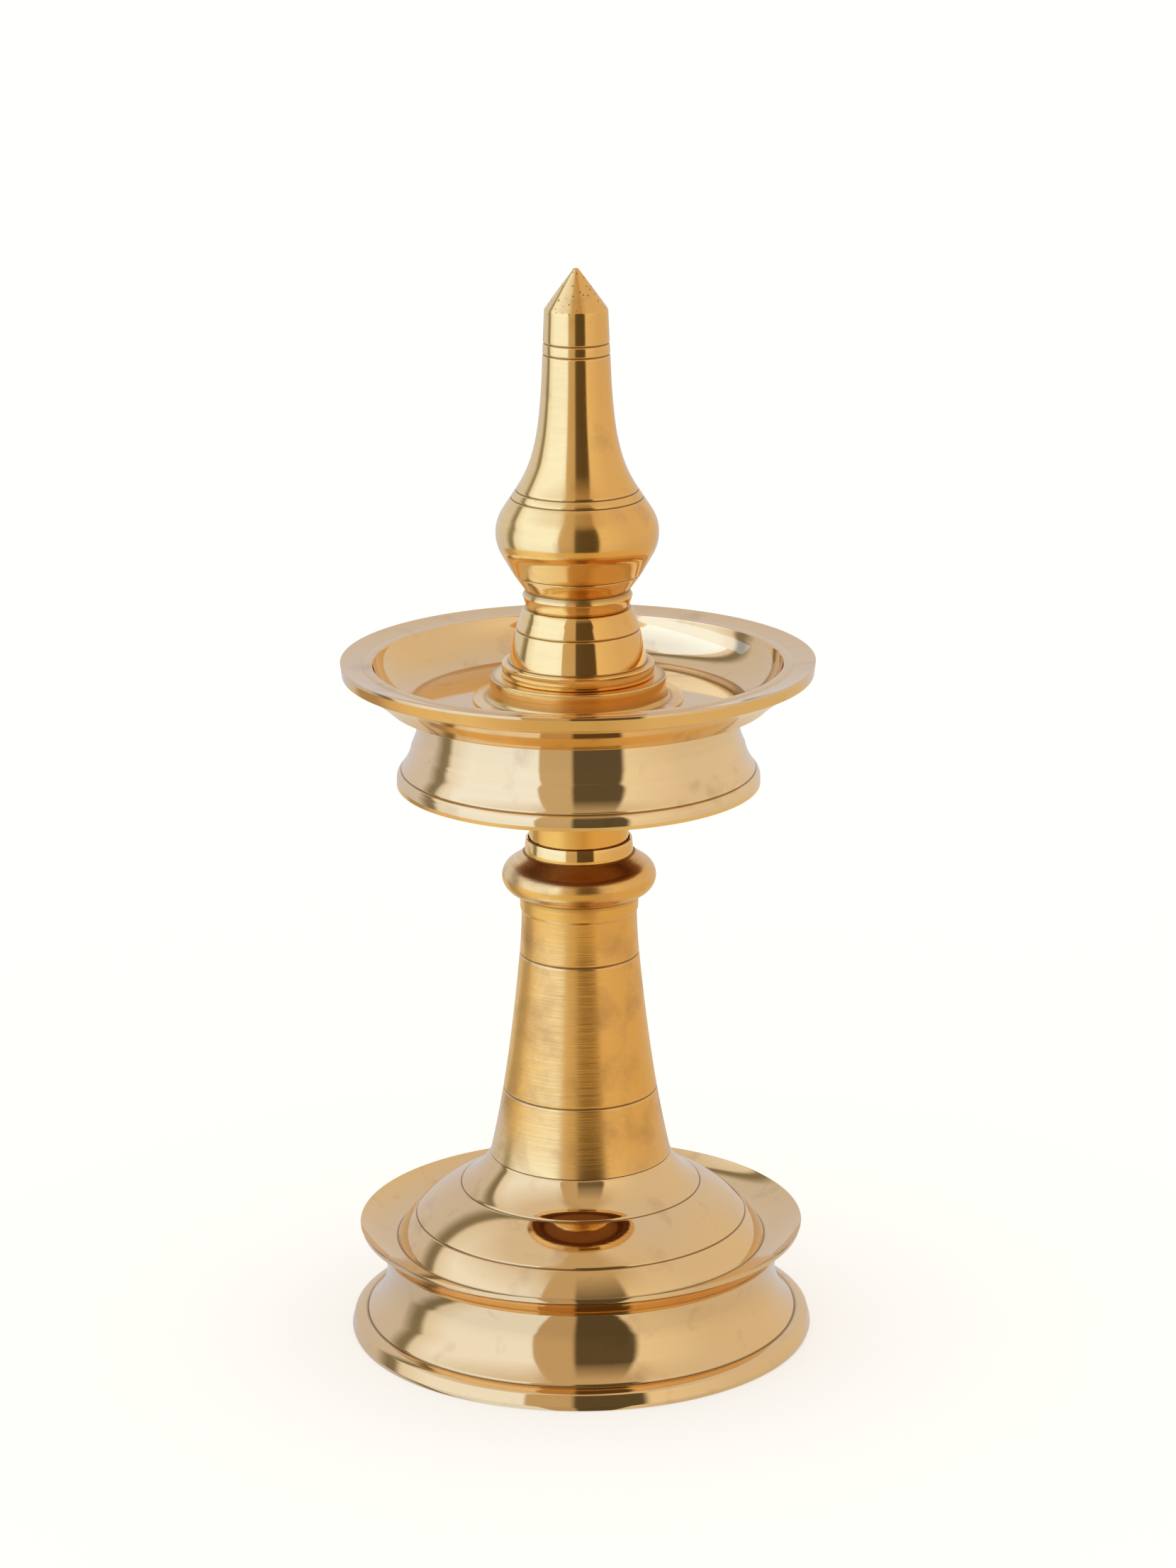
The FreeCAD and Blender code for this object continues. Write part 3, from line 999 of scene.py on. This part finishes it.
def softbox(name, place, size, strength, catchers):
    """A soft rectangular light that only the named pieces catch."""
    width, height = size
    light = bpy.data.lights.new(name, "AREA")
    light.shape = "RECTANGLE"
    light.size = width
    light.size_y = height
    light.energy = math.pi * width * height
    light.color = strength
    lamp = bpy.data.objects.new(name, light)
    lamp.location = place
    lamp.rotation_euler = (Vector(place) - Vector(SOFTBOX_AIM)).to_track_quat("Z", "Y").to_euler()
    lamp.visible_camera = False
    bpy.context.scene.collection.objects.link(lamp)
    caught = bpy.data.collections.new(f"{name}_catchers")
    for piece in catchers:
        caught.objects.link(bpy.data.objects[piece])
    lamp.light_linking.receiver_collection = caught


class LAMP_OT_stage(bpy.types.Operator):
    """Lays the floor and sets the lights and the camera"""

    bl_idname = "lamp.stage"
    bl_label = "Stage"

    def execute(self, context):
        scene = context.scene
        stage = scene.lamp_stage
        scene.view_settings.view_transform = "Standard"
        make_floor(stage.floor_colour)
        make_table_board()
        make_room(stage.room_colour, stage.floor_colour)
        for name, place, size, strength in SOFTBOXES:
            softbox(name, place, size, strength, ("tray",))

        lens = bpy.data.cameras.new("camera")
        lens.lens = stage.lens
        lens.sensor_width = 36.0
        camera = bpy.data.objects.new("camera", lens)
        camera.location = stage.camera_place
        tilt = Euler((math.pi / 2 - stage.camera_pitch, 0, 0)).to_matrix()
        lean = Euler((0, 0, stage.camera_roll)).to_matrix()
        camera.rotation_euler = (tilt @ lean).to_euler()
        scene.collection.objects.link(camera)
        scene.camera = camera
        return {"FINISHED"}


class LAMP_PT_sidebar(bpy.types.Panel):
    """Lists the lamp's pieces and their settings"""

    bl_idname = "LAMP_PT_sidebar"
    bl_label = "Oil Lamp"
    bl_space_type = "VIEW_3D"
    bl_region_type = "UI"
    bl_category = "Oil Lamp"

    def draw(self, context):
        layout = self.layout
        for operator in OPERATORS:
            layout.operator(operator.bl_idname)
        for group in (context.scene.lamp_turning, context.scene.lamp_brass, context.scene.lamp_stage):
            box = layout.box()
            for field in group.__annotations__:
                box.prop(group, field)


OPERATORS = (
    LAMP_OT_base,
    LAMP_OT_stem,
    LAMP_OT_tray,
    LAMP_OT_hub,
    LAMP_OT_finial,
    LAMP_OT_studs,
    LAMP_OT_stage,
)
GROUPS = (("lamp_turning", LampTurning), ("lamp_brass", LampBrass), ("lamp_stage", LampStage))


def register():
    for name, group in GROUPS:
        bpy.utils.register_class(group)
        setattr(bpy.types.Scene, name, PointerProperty(type=group))
    for item in (*OPERATORS, LAMP_PT_sidebar):
        bpy.utils.register_class(item)


def unregister():
    for item in reversed((*OPERATORS, LAMP_PT_sidebar)):
        bpy.utils.unregister_class(item)
    for name, group in reversed(GROUPS):
        delattr(bpy.types.Scene, name)
        bpy.utils.unregister_class(group)


def main():
    register()
    bpy.ops.lamp.base()
    bpy.ops.lamp.stem()
    bpy.ops.lamp.tray()
    bpy.ops.lamp.hub()
    bpy.ops.lamp.finial()
    bpy.ops.lamp.studs()
    bpy.ops.lamp.stage()


if __name__ == "__main__":
    main()
